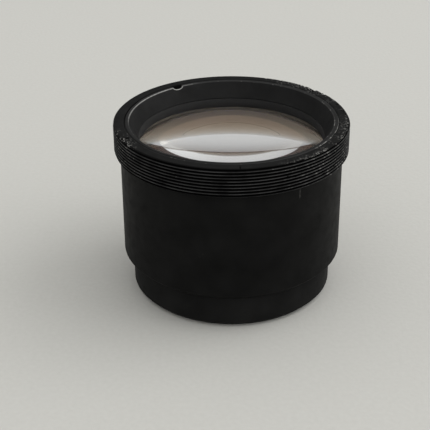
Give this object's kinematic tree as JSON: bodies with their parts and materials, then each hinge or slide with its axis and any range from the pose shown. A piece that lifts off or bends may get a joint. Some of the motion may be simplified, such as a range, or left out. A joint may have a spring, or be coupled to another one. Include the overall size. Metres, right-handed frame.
{
  "type": "barlow lens",
  "caption": "Large-aperture barlow lens cell: black anodised barrel with a threaded flange, a funnel-mouthed retaining ring, an air-spaced negative glass doublet and a stepped tail ring.",
  "frame": {"origin": "centre of the tail ring's bottom face, which is the bottom centre of the bounding box", "axes": "+Z along the optical axis, from the tail ring up to the threaded flange; the object is round about Z"},
  "size_m": [0.055, 0.055, 0.0422],
  "materials": {
    "anodised": "satin black anodised",
    "matt_black": "matt black anti-reflection paint",
    "black_film": "matt black film",
    "amber_film": "amber polyimide film",
    "nylon": "black nylon",
    "foil": "plain foil",
    "crown_glass": "polished, clear, thin broadband coating",
    "flint_glass": "polished, clear, faintly warm"
  },
  "bodies": {
    "tail": {"tail_ring": "anodised", "lower_baffle": "matt_black", "end_ring": "anodised"},
    "spacing_washer": {"spacing_washer": "black_film"},
    "housing": {"cell_housing": "anodised", "pressure_ring": "matt_black", "crown_lens": "crown_glass", "foil_spacers": "foil", "flint_lens": "flint_glass", "centring_shims": "amber_film", "seat_ring": "nylon", "baffle_tube": "matt_black", "upper_baffle": "matt_black", "middle_baffle": "matt_black"},
    "slip_washer": {"slip_washer": "black_film"},
    "retaining_ring": {"retaining_ring": "anodised"}
  },
  "joints": [
    {"name": "housing_rise", "type": "slide", "parent": "tail", "child": "spacing_washer", "axis": [0, 0, 1], "range_m": [0, 0.00376]},
    {"name": "housing_turn", "type": "hinge", "parent": "spacing_washer", "child": "housing", "pos_m": [0, 0, 0.008], "axis": [0, 0, 1], "range_deg": [0, 1800]},
    {"name": "ring_rise", "type": "slide", "parent": "housing", "child": "slip_washer", "axis": [0, 0, 1], "range_m": [0, 0.00301]},
    {"name": "ring_turn", "type": "hinge", "parent": "slip_washer", "child": "retaining_ring", "pos_m": [0, 0, 0.0385], "axis": [0, 0, 1], "range_deg": [0, 1440]}
  ],
  "couplings": [
    {"joint": "housing_rise", "follows": "housing_turn", "m_per_rad": 0.00011937},
    {"joint": "ring_rise", "follows": "ring_turn", "m_per_rad": 0.00011937}
  ]
}
